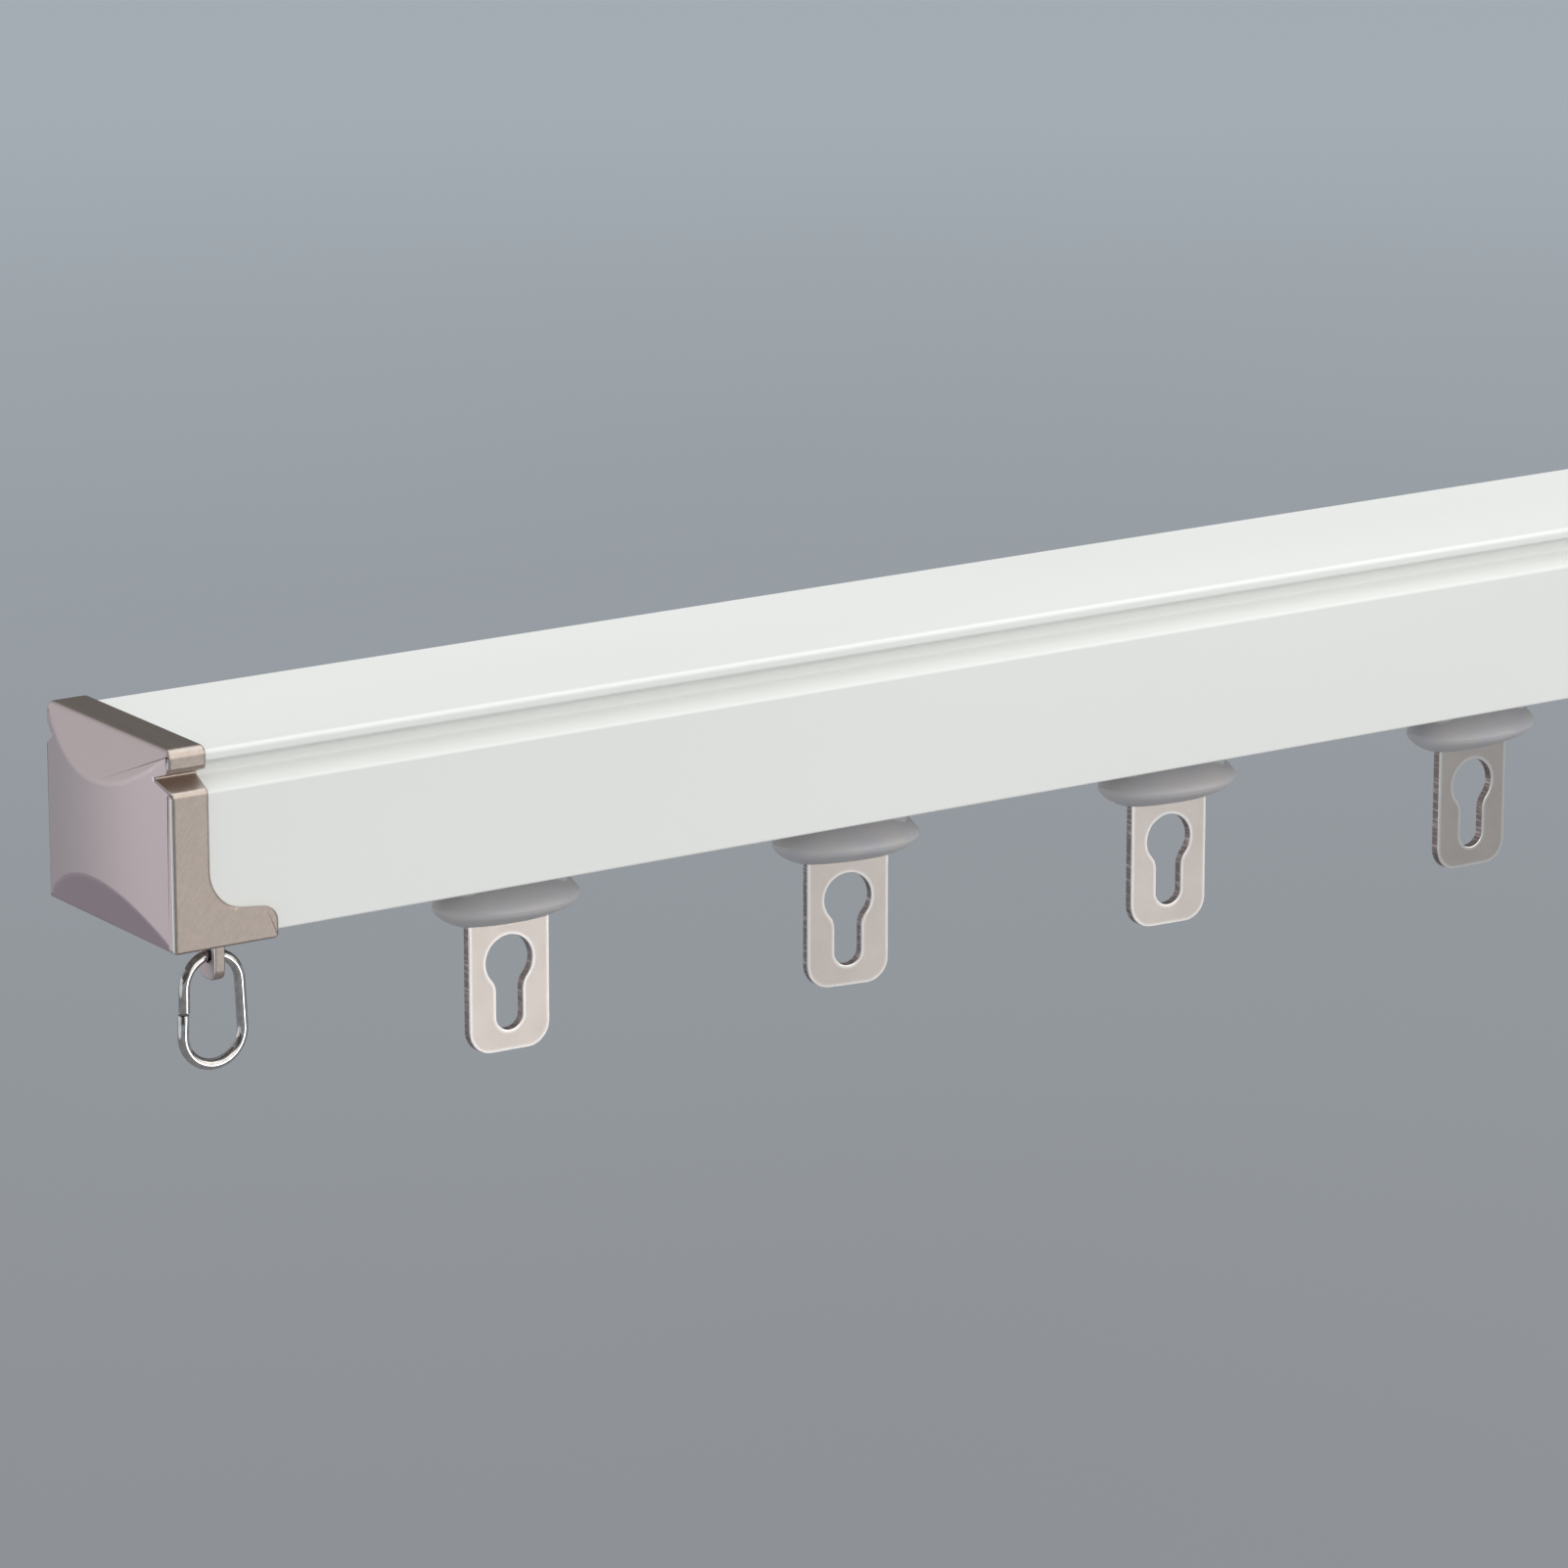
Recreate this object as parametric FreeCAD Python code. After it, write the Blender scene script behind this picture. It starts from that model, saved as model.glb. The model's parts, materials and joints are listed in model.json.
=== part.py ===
import FreeCAD, Part
import math
import os

from FreeCAD import Placement, Rotation, Vector

# Curtain track: a white aluminium rail, wheeled runners with hook tabs, and a metal cap with a ring at each end.
# Millimetres and degrees. The origin is the middle of the rail's top face, X runs along the rail and Z points up.

# Whole track
TRACK_LENGTH = 277.7
RUNNER_COUNT = 5
RUNNER_END_SPACE = 48.85
RUNNER_SKEWS = (-1.5, -8.0, -4.0, 1.0, 0.0)

# Rail section
RAIL_WIDTH = 25.9
RAIL_HEIGHT = 20.6
RAIL_WALL = 1.3
HEAD_WIDTH = 25.1
HEAD_EDGE = 1.2
GROOVE_DEPTH = 2.5
GROOVE_TOP = 1.95
GROOVE_LOW = 3.1
SHOULDER_DROP = 4.45
SLOT_WIDTH = 7.0
BEAD_WIDTH = 0.6
BEAD_HEIGHT = 0.7
RAIL_RADII = (0.5, 0.35, 0.35, 0.35, 0.4, 0.25)
INNER_RADIUS = 0.5
ARC_SHARE = 0.9

# End cap
CAP_PROUD = 0.7
CAP_FIT = 0.1
CAP_RADII = (1.05, 0.7, 0.25, 0.35, 0.8, 0.3)
CAP_WALL = 1.6
CAP_BULGE = 2.1
CAP_EDGE = 0.05
TOP_FACET = 5.7
LOW_FACET = 5.5
LEG_WIDTH = 4.4
LEG_FILLET = 4.6
FOOT_LENGTH = 12.5
FOOT_HEIGHT = 3.45
FOOT_RISE = 0.85
FOOT_CORNER = 1.7
FOOT_TIP = 0.5

# Ring lug under the cap's foot, and its wire ring
LUG_THICKNESS = 1.25
LUG_WIDTH = 3.8
LUG_DROP = 7.7
LUG_CORNER = 1.3
LUG_HOLE_DROP = 4.8
LUG_HOLE_DIAMETER = 2.1
RING_WIRE = 1.25
RING_HEIGHT = 13.5
RING_TOP_RADIUS = 3.4
RING_LOW_RADIUS = 3.65
RING_PLAY = 0.2
RING_GAP_DROP = 6.1
RING_GAP = 0.2
RING_INWARD_ANGLE = 2.0

# Screw and nut plate that clamp the cap to the rail's lips
SCREW_INSET = 6.5
SCREW_DIAMETER = 3.0
SCREW_CLEARANCE = 0.1
SCREW_HEAD_DIAMETER = 5.6
SCREW_HEAD_HEIGHT = 1.7
SCREW_HEAD_ROUND = 0.9
SCREW_TIP = 0.6
RECESS_SPAN = 2.8
RECESS_WIDTH = 0.7
RECESS_DEPTH = 1.0
NUT_LENGTH = 7.0
NUT_OVERHANG = 2.0
NUT_THICKNESS = 2.0
NUT_CORNER = 1.0

# Wheels and axles
WHEEL_DIAMETER = 9.0
WHEEL_BASE = 12.0
WHEEL_CHAMFER = 0.5
LIP_CLEARANCE = 0.05
WALL_CLEARANCE = 1.95
BEAD_CLEARANCE = 1.4
AXLE_DIAMETER = 2.0
AXLE_CLEARANCE = 0.05
AXLE_STUB = 0.4
AXLE_CHAMFER = 0.2

# Runner carriage
BODY_LENGTH = 21.6
BODY_CORNER = 2.4
BODY_OVER_AXLE = 3.4
BODY_BEAD_GAP = 0.5
BOSS_HEIGHT = 1.0
BOSS_DIAMETER = 4.2
BOSS_CLEARANCE = 0.2
NECK_LENGTH = 14.0
NECK_CLEARANCE = 1.0
NECK_CORNER = 1.5
FLANGE_DROP = 5.3
FLANGE_LENGTH = 18.4
FLANGE_WIDTH = 10.6
FLANGE_RIM = 0.8
FLANGE_CROWN = 1.1
HULL_DEPTH = 1.7
HULL_MIDDLE = 0.55
HULL_LENGTH = 11.2
HULL_WIDTH = 3.0
SOCKET_LENGTH = 10.6
SOCKET_WIDTH = 3.2
SOCKET_CORNER = 0.4

# Hook tab
TAB_WIDTH = 10.2
TAB_THICKNESS = 1.2
TAB_LENGTH = 14.85
TAB_CORNER = 2.8
TAB_ROOT = 2.0
STEM_WIDTH = 6.0
ANCHOR_WIDTH = 8.4
ANCHOR_HEIGHT = 2.5
EYE_DIAMETER = 5.85
EYE_RISE = 10.3
SLOT_EYE_WIDTH = 3.3
SLOT_EYE_RISE = 2.4
EYE_BLEND = 2.2

# Levels, widths and spacing that several pieces share
RUNNER_PITCH = (TRACK_LENGTH - 2 * RUNNER_END_SPACE) / (RUNNER_COUNT - 1)
RAIL_LOW = -RAIL_HEIGHT
LIP_TOP = RAIL_LOW + RAIL_WALL
BEAD_TOP = LIP_TOP + BEAD_HEIGHT
CAP_TOP = CAP_PROUD
CAP_LOW = RAIL_LOW - CAP_PROUD
AXLE_Z = LIP_TOP + LIP_CLEARANCE + WHEEL_DIAMETER / 2
BEAD_OUT = SLOT_WIDTH / 2 + BEAD_WIDTH
WHEEL_IN = BEAD_OUT + BEAD_CLEARANCE
WHEEL_OUT = RAIL_WIDTH / 2 - RAIL_WALL - WALL_CLEARANCE
BOSS_OUT = WHEEL_IN - BOSS_CLEARANCE
BODY_WIDTH = 2 * (BOSS_OUT - BOSS_HEIGHT)
BODY_LOW = BEAD_TOP + BODY_BEAD_GAP
BODY_TOP = AXLE_Z + BODY_OVER_AXLE
RIM_TOP = RAIL_LOW - FLANGE_DROP
RIM_LOW = RIM_TOP - FLANGE_RIM
HULL_LOW = RIM_LOW - HULL_DEPTH
TAB_LOW = HULL_LOW - TAB_LENGTH
NUT_LOW = BEAD_TOP
LUG_X = FOOT_LENGTH - LUG_THICKNESS / 2
LUG_HOLE_Z = CAP_LOW - LUG_HOLE_DROP
RING_Z = LUG_HOLE_Z - LUG_HOLE_DIAMETER / 2 + RING_WIRE / 2 + RING_PLAY


def across(x):
    """Turns outline points into points of the plane across the rail at x."""
    return lambda y, z: Vector(x, y, z)


def along(y):
    """Turns outline points into points of the upright plane along the rail at y."""
    return lambda x, z: Vector(x, y, z)


def level(z):
    """Turns outline points into points of the level plane at height z."""
    return lambda x, y: Vector(x, y, z)


def two_sided(half):
    """A closed outline from the corners of its positive side, listed from the top down."""
    return half + [(-u, v, radius) for u, v, radius in reversed(half)]


def grown(corners, distance):
    """The outline with each side moved outwards by the distance, and the corner radii kept."""
    points = [Vector(u, v, 0) for u, v, _ in corners]
    area = sum(before.x * here.y - here.x * before.y for before, here in zip(points[-1:] + points, points))
    outwards = -math.copysign(distance, area * distance) if distance else 0.0
    moved = []
    for i, here in enumerate(points):
        came = (here - points[i - 1]).normalize()
        goes = (points[(i + 1) % len(points)] - here).normalize()
        shift_came = Vector(-came.y, came.x, 0) * outwards
        shift_goes = Vector(-goes.y, goes.x, 0) * outwards
        reach = (shift_goes - shift_came).cross(goes).z / came.cross(goes).z
        corner = here + shift_came + came * reach
        moved.append((corner.x, corner.y, corners[i][2]))
    return moved


def fitting_radii(corners, points, half_angles):
    """The corner radii, made smaller on both sides of a straight that is too short for its two arcs."""
    reaches = [radius / math.tan(half) for (_, _, radius), half in zip(corners, half_angles)]
    shares = [1.0] * len(points)
    for i, here in enumerate(points):
        needed = reaches[i - 1] + reaches[i]
        room = (here - points[i - 1]).Length * ARC_SHARE
        if needed > room:
            shares[i - 1] = min(shares[i - 1], room / needed)
            shares[i] = min(shares[i], room / needed)
    return [radius * share for (_, _, radius), share in zip(corners, shares)]


def rounded_wire(corners, to_point):
    """A closed wire through the corners (u, v, radius), each rounded by a tangent arc."""
    points = [Vector(u, v, 0) for u, v, _ in corners]
    backs = [(points[i - 1] - here).normalize() for i, here in enumerate(points)]
    aheads = [back * -1 for back in backs[1:] + backs[:1]]
    half_angles = [back.getAngle(ahead) / 2 for back, ahead in zip(backs, aheads)]
    radii = fitting_radii(corners, points, half_angles)
    bends = []
    for here, back, ahead, half_angle, radius in zip(points, backs, aheads, half_angles, radii):
        reach = radius / math.tan(half_angle)
        centre = here + (back + ahead).normalize() * (radius / math.sin(half_angle))
        middle = centre + (here - centre).normalize() * radius if radius else here
        bends.append([here + back * reach, middle, here + ahead * reach])
    edges = []
    for i, (start, middle, end) in enumerate(bends):
        if radii[i]:
            edges.append(Part.Arc(*[to_point(p.x, p.y) for p in (start, middle, end)]).toShape())
        following = bends[(i + 1) % len(bends)][0]
        edges.append(Part.makeLine(to_point(end.x, end.y), to_point(following.x, following.y)))
    return Part.Wire(edges)


def prism(corners, to_point, travel):
    """A solid from a rounded outline pushed along the travel vector."""
    return Part.Face(rounded_wire(corners, to_point)).extrude(travel)


def slab(length, width, low, high, corner):
    """An upright block centred on the Z axis, with its four upright edges rounded."""
    half_length = length / 2
    half_width = width / 2
    outline = [
        (half_length, half_width, corner),
        (half_length, -half_width, corner),
        (-half_length, -half_width, corner),
        (-half_length, half_width, corner),
    ]
    return prism(outline, level(low), Vector(0, 0, high - low))


def cross_rod(radius, half_length, x):
    """A round bar across the rail at the axle's height."""
    return Part.makeCylinder(radius, 2 * half_length, Vector(x, -half_length, AXLE_Z), Vector(0, 1, 0))


def rail_side(radii):
    """One side of the rail's outline: head, clip groove, sloping shoulder, wall and bottom edge."""
    side = RAIL_WIDTH / 2
    groove_floor = side - GROOVE_DEPTH
    places = [
        (HEAD_WIDTH / 2, 0.0),
        (HEAD_WIDTH / 2, -HEAD_EDGE),
        (groove_floor, -GROOVE_TOP),
        (groove_floor, -GROOVE_LOW),
        (side, -SHOULDER_DROP),
        (side, RAIL_LOW),
    ]
    return [(y, z, radius) for (y, z), radius in zip(places, radii)]


def channel_side():
    """One side of the rail's open channel, from the bottom slot up over the running lip to the ceiling."""
    side = RAIL_WIDTH / 2
    groove_floor = side - GROOVE_DEPTH
    slope = (SHOULDER_DROP - GROOVE_LOW) / GROOVE_DEPTH
    wall_drop = RAIL_WALL * math.hypot(1, slope)
    inner_side = side - RAIL_WALL
    inner_neck = groove_floor - RAIL_WALL
    return [
        (SLOT_WIDTH / 2, RAIL_LOW, 0.0),
        (SLOT_WIDTH / 2, BEAD_TOP, BEAD_WIDTH / 3),
        (BEAD_OUT, BEAD_TOP, BEAD_WIDTH / 3),
        (BEAD_OUT, LIP_TOP, 0.0),
        (inner_side, LIP_TOP, INNER_RADIUS),
        (inner_side, -GROOVE_LOW - slope * (inner_side - groove_floor) - wall_drop, INNER_RADIUS),
        (inner_neck, -GROOVE_LOW - slope * (inner_neck - groove_floor) - wall_drop, INNER_RADIUS),
        (inner_neck, -RAIL_WALL, INNER_RADIUS),
    ]


def rail():
    """The extrusion: one wall all round, folded in at the clip grooves and open along the bottom."""
    length = TRACK_LENGTH - 2 * CAP_WALL
    section = two_sided(rail_side(RAIL_RADII) + channel_side())
    return with_seat_lines(prism(section, across(-length / 2), Vector(length, 0, 0)))


def with_seat_lines(extrusion):
    """The extrusion with its flat top parted by a line beside each cap, so that the bare seat is a face by itself."""
    seat_end = TRACK_LENGTH / 2 - LEG_WIDTH - CAP_FIT
    half_width = HEAD_WIDTH / 2
    lines = [Part.makeLine(Vector(x, -half_width, 0), Vector(x, half_width, 0)) for x in (-seat_end, seat_end)]
    parted, _ = extrusion.generalFuse(lines)
    return parted.Solids[0]


def cap_front():
    """The cap seen from the front: faceted end, top plate, leg and foot."""
    foot_top = CAP_LOW + FOOT_HEIGHT
    return [
        (0.0, CAP_LOW, 0.0),
        (FOOT_LENGTH, CAP_LOW, FOOT_TIP),
        (FOOT_LENGTH, foot_top, FOOT_CORNER),
        (LEG_WIDTH, foot_top + FOOT_RISE, LEG_FILLET),
        (LEG_WIDTH, CAP_TOP, 0.0),
        (0.0, CAP_TOP, 0.0),
        (-CAP_BULGE, CAP_TOP - TOP_FACET, 0.0),
        (-CAP_BULGE, CAP_LOW + LOW_FACET, 0.0),
    ]


def cap_shell():
    """The casting round the rail's end: bulged end face between two flat facets, and a pocket for the rail."""
    half_width = RAIL_WIDTH / 2 + CAP_PROUD
    height = CAP_TOP - CAP_LOW
    length = CAP_BULGE + FOOT_LENGTH
    block = prism(grown(two_sided(rail_side(CAP_RADII)), CAP_PROUD), across(-CAP_BULGE), Vector(length, 0, 0))
    front = prism(cap_front(), along(-half_width), Vector(0, 2 * half_width, 0))
    rise = CAP_BULGE - CAP_EDGE
    bulge_radius = (half_width**2 + rise**2) / (2 * rise)
    bulge = Part.makeCylinder(bulge_radius, height, Vector(bulge_radius - CAP_BULGE, 0, CAP_LOW))
    pocket = prism(grown(two_sided(rail_side(RAIL_RADII)), CAP_FIT), across(CAP_WALL), Vector(length, 0, 0))
    return block.common(front).common(bulge).cut(pocket)


def ring_lug():
    """The small upright tongue under the foot's end, drilled along the rail for the ring."""
    half_width = LUG_WIDTH / 2
    outline = [
        (half_width, CAP_LOW + CAP_PROUD / 2, 0.0),
        (half_width, CAP_LOW - LUG_DROP, LUG_CORNER),
        (-half_width, CAP_LOW - LUG_DROP, LUG_CORNER),
        (-half_width, CAP_LOW + CAP_PROUD / 2, 0.0),
    ]
    start = FOOT_LENGTH - LUG_THICKNESS
    plate = prism(outline, across(start), Vector(LUG_THICKNESS, 0, 0))
    hole = Part.makeCylinder(
        LUG_HOLE_DIAMETER / 2, 2 * LUG_THICKNESS, Vector(start - LUG_THICKNESS / 2, 0, LUG_HOLE_Z), Vector(1, 0, 0)
    )
    return plate.cut(hole)


def end_cap():
    """One cap, with its corner plane at x = 0 and the rail running off towards +X."""
    hole_radius = SCREW_DIAMETER / 2 + SCREW_CLEARANCE
    hole = Part.makeCylinder(hole_radius, 2 * CAP_PROUD, Vector(SCREW_INSET, 0, CAP_LOW - CAP_PROUD / 2))
    return cap_shell().fuse(ring_lug()).cut(hole).removeSplitter()


def end_ring():
    """An oval link bent from one wire, narrower at the top, with its butt joint in the outer side."""
    top_centre = Vector(LUG_X, 0, RING_Z - RING_TOP_RADIUS)
    low_centre = Vector(LUG_X, 0, RING_Z - (RING_HEIGHT - RING_WIRE) + RING_LOW_RADIUS)
    lean = math.asin((RING_LOW_RADIUS - RING_TOP_RADIUS) / (top_centre.z - low_centre.z))
    upper_lean = lean - math.radians(RING_INWARD_ANGLE)
    gap_z = RING_Z - RING_GAP_DROP

    def rim(centre, radius, angle):
        return centre + Vector(math.cos(angle), 0, math.sin(angle)) * radius

    def down_to(start, angle, z):
        travel = Vector(-math.sin(angle), 0, -math.cos(angle))
        return start + travel * ((start.z - z) / math.cos(angle))

    low_left = rim(low_centre, RING_LOW_RADIUS, math.pi - lean)
    low_right = rim(low_centre, RING_LOW_RADIUS, lean)
    top_right = rim(top_centre, RING_TOP_RADIUS, lean)
    top_left = rim(top_centre, RING_TOP_RADIUS, math.pi - upper_lean)
    lower_end = down_to(low_left, lean, gap_z - RING_GAP / 2)
    upper_end = down_to(top_left, upper_lean, gap_z + RING_GAP / 2)
    path = Part.Wire(
        [
            Part.makeLine(lower_end, low_left),
            Part.Arc(low_left, low_centre - Vector(0, 0, RING_LOW_RADIUS), low_right).toShape(),
            Part.makeLine(low_right, top_right),
            Part.Arc(top_right, top_centre + Vector(0, 0, RING_TOP_RADIUS), top_left).toShape(),
            Part.makeLine(top_left, upper_end),
        ]
    )
    section = Part.Wire(Part.makeCircle(RING_WIRE / 2, lower_end, low_left - lower_end))
    return path.makePipe(Part.Face(section))


def cap_screw():
    """Pan head screw, driven from below through the foot plate, with a cross recess."""
    head_low = CAP_LOW - SCREW_HEAD_HEIGHT
    tip = NUT_LOW + NUT_THICKNESS + SCREW_TIP
    head = Part.makeCylinder(SCREW_HEAD_DIAMETER / 2, SCREW_HEAD_HEIGHT, Vector(SCREW_INSET, 0, head_low))
    rim = [edge for edge in head.Edges if edge.BoundBox.ZMax < head_low + SCREW_HEAD_HEIGHT / 2]
    head = head.makeFillet(SCREW_HEAD_ROUND, rim)
    shank = Part.makeCylinder(SCREW_DIAMETER / 2, tip - CAP_LOW, Vector(SCREW_INSET, 0, CAP_LOW))
    screw = head.fuse(shank)
    for length, width in ((RECESS_SPAN, RECESS_WIDTH), (RECESS_WIDTH, RECESS_SPAN)):
        corner = Vector(SCREW_INSET - length / 2, -width / 2, head_low - RECESS_DEPTH)
        screw = screw.cut(Part.makeBox(length, width, 2 * RECESS_DEPTH, corner))
    return screw.removeSplitter()


def clamp_nut():
    """Nut plate inside the channel, resting on the lips' beads and drawn down by the screw."""
    plate = slab(NUT_LENGTH, 2 * (BEAD_OUT + NUT_OVERHANG), NUT_LOW, NUT_LOW + NUT_THICKNESS, NUT_CORNER)
    plate.translate(Vector(SCREW_INSET, 0, 0))
    hole = Part.makeCylinder(SCREW_DIAMETER / 2, 2 * NUT_THICKNESS, Vector(SCREW_INSET, 0, NUT_LOW - NUT_THICKNESS / 2))
    return plate.cut(hole)


def wheel(x, side):
    """A plain wheel, pressed on the axle, with both rims chamfered. side is -1 in front and 1 at the back."""
    tread = WHEEL_DIAMETER / 2
    bore = AXLE_DIAMETER / 2
    half_section = [
        (bore, WHEEL_IN),
        (tread - WHEEL_CHAMFER, WHEEL_IN),
        (tread, WHEEL_IN + WHEEL_CHAMFER),
        (tread, WHEEL_OUT - WHEEL_CHAMFER),
        (tread - WHEEL_CHAMFER, WHEEL_OUT),
        (bore, WHEEL_OUT),
    ]
    points = [Vector(x, side * y, AXLE_Z + radius) for radius, y in half_section]
    face = Part.Face(Part.makePolygon(points + points[:1]))
    return face.revolve(Vector(x, 0, AXLE_Z), Vector(0, 1, 0), 360)


def axle(x):
    """A steel pin with chamfered ends that stand just proud of the wheels."""
    pin = cross_rod(AXLE_DIAMETER / 2, WHEEL_OUT + AXLE_STUB, x)
    ends = [edge for edge in pin.Edges if edge.BoundBox.YLength < AXLE_CHAMFER]
    return pin.makeChamfer(AXLE_CHAMFER, ends)


def tab_blank():
    """The hook tab before its eye is punched: a rounded plate on a stem with an anchor head."""
    anchor_top = BODY_TOP - ANCHOR_HEIGHT / 2
    outline = [
        (ANCHOR_WIDTH / 2, anchor_top, 0.0),
        (ANCHOR_WIDTH / 2, anchor_top - ANCHOR_HEIGHT, 0.0),
        (STEM_WIDTH / 2, anchor_top - ANCHOR_HEIGHT, 0.0),
        (STEM_WIDTH / 2, HULL_LOW + TAB_ROOT, 0.0),
        (TAB_WIDTH / 2, HULL_LOW + TAB_ROOT, 0.0),
        (TAB_WIDTH / 2, TAB_LOW, TAB_CORNER),
    ]
    return prism(two_sided(outline), along(-TAB_THICKNESS / 2), Vector(0, TAB_THICKNESS, 0))


def eye_punch():
    """The keyhole of the tab: a round eye that runs down into a narrow slot through two soft shoulders."""
    eye_radius = EYE_DIAMETER / 2
    slot_radius = SLOT_EYE_WIDTH / 2
    eye_z = TAB_LOW + EYE_RISE
    slot_z = TAB_LOW + SLOT_EYE_RISE + slot_radius
    blend_x = slot_radius + EYE_BLEND
    blend_drop = math.sqrt((eye_radius + EYE_BLEND) ** 2 - blend_x**2)
    share = eye_radius / (eye_radius + EYE_BLEND)
    towards_eye = math.atan2(blend_drop, -blend_x)
    halfway = (towards_eye + math.pi) / 2
    y = -TAB_THICKNESS

    def at(x, z):
        return Vector(x, y, z)

    def shoulder(sign):
        joins_eye = at(sign * blend_x * share, eye_z - blend_drop * share)
        middle_x = blend_x + EYE_BLEND * math.cos(halfway)
        middle_z = eye_z - blend_drop + EYE_BLEND * math.sin(halfway)
        joins_slot = at(sign * slot_radius, eye_z - blend_drop)
        return joins_eye, at(sign * middle_x, middle_z), joins_slot

    right = shoulder(1)
    left = shoulder(-1)
    edges = [
        Part.Arc(left[0], at(0, eye_z + eye_radius), right[0]).toShape(),
        Part.Arc(*right).toShape(),
        Part.makeLine(right[2], at(slot_radius, slot_z)),
        Part.Arc(at(slot_radius, slot_z), at(0, slot_z - slot_radius), at(-slot_radius, slot_z)).toShape(),
        Part.makeLine(at(-slot_radius, slot_z), left[2]),
        Part.Arc(*reversed(left)).toShape(),
    ]
    return Part.Face(Part.Wire(edges)).extrude(Vector(0, 2 * TAB_THICKNESS, 0))


def ellipse_wire(length, width, z):
    """A level ellipse centred on the Z axis."""
    return Part.Wire(Part.Ellipse(Vector(0, 0, z), length / 2, width / 2).toShape())


def flange():
    """The boat shaped guard below the rail: a low crown, a thin rim and a hull that closes on the tab."""
    rim_top = ellipse_wire(FLANGE_LENGTH, FLANGE_WIDTH, RIM_TOP)
    rim_low = ellipse_wire(FLANGE_LENGTH, FLANGE_WIDTH, RIM_LOW)
    crown = ellipse_wire(NECK_LENGTH, BODY_WIDTH / 2, RIM_TOP + FLANGE_CROWN)
    middle_length = HULL_LENGTH + (FLANGE_LENGTH - HULL_LENGTH) * HULL_MIDDLE
    middle_width = HULL_WIDTH + (FLANGE_WIDTH - HULL_WIDTH) * HULL_MIDDLE
    middle = ellipse_wire(middle_length, middle_width, RIM_LOW - HULL_DEPTH * (1 - HULL_MIDDLE))
    keel = ellipse_wire(HULL_LENGTH, HULL_WIDTH, HULL_LOW)
    return Part.makeLoft([crown, rim_top, rim_low, middle, keel], True, True)


def carriage(tab):
    """The moulded body: block with axle bosses, neck through the slot, flange, and a socket round the tab."""
    neck_width = SLOT_WIDTH - 2 * NECK_CLEARANCE
    pieces = [
        slab(NECK_LENGTH, neck_width, RIM_LOW, BODY_TOP, NECK_CORNER),
        flange(),
        slab(SOCKET_LENGTH, SOCKET_WIDTH, HULL_LOW, RIM_TOP, SOCKET_CORNER),
    ]
    axle_places = (-WHEEL_BASE / 2, WHEEL_BASE / 2)
    pieces += [cross_rod(BOSS_DIAMETER / 2, BOSS_OUT, x) for x in axle_places]
    body = slab(BODY_LENGTH, BODY_WIDTH, BODY_LOW, BODY_TOP, BODY_CORNER).fuse(pieces)
    for x in axle_places:
        body = body.cut(cross_rod(AXLE_DIAMETER / 2 + AXLE_CLEARANCE, WHEEL_OUT, x))
    return body.cut(tab).removeSplitter()


def runner():
    """The pieces of one runner, centred on x = 0, by name."""
    blank = tab_blank()
    pieces = {"carriage": carriage(blank), "tab": blank.cut(eye_punch())}
    for place, x in (("left", -WHEEL_BASE / 2), ("right", WHEEL_BASE / 2)):
        pieces["axle_" + place] = axle(x)
        pieces["wheel_" + place + "_front"] = wheel(x, -1)
        pieces["wheel_" + place + "_back"] = wheel(x, 1)
    return pieces


def end_pieces():
    """The pieces of the left end, with the cap's corner plane at x = 0, by name."""
    return {"end_cap": end_cap(), "end_ring": end_ring(), "cap_screw": cap_screw(), "clamp_nut": clamp_nut()}


def placed(shape, x, turn):
    """A copy turned about its upright axis and then moved along the rail."""
    copy = shape.copy()
    copy.Placement = Placement(Vector(x, 0, 0), Rotation(Vector(0, 0, 1), turn)).multiply(copy.Placement)
    return copy


def track():
    """Every piece of the track in its place, by node name."""
    nodes = {"rail": rail()}
    for side, turn in (("left", 0), ("right", 180)):
        end_x = -TRACK_LENGTH / 2 * math.cos(math.radians(turn))
        for name, shape in end_pieces().items():
            nodes[name + "_" + side] = placed(shape, end_x, turn)
    parts = runner()
    for number in range(RUNNER_COUNT):
        x = (number - (RUNNER_COUNT - 1) / 2) * RUNNER_PITCH
        for name, shape in parts.items():
            skew = RUNNER_SKEWS[number % len(RUNNER_SKEWS)]
            nodes[f"runner_{number + 1}_{name}"] = placed(shape, x, skew)
    return nodes


def main():
    """Writes one file for each piece."""
    os.makedirs("parts", exist_ok=True)
    for name, shape in track().items():
        if not shape.isValid() or len(shape.Solids) != 1:
            raise ValueError(f"{name} is not one valid solid")
        shape.Solids[0].exportStep(f"parts/{name}.step")
        print(name, round(shape.Volume, 2))


if __name__ == "__main__":
    main()
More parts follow.
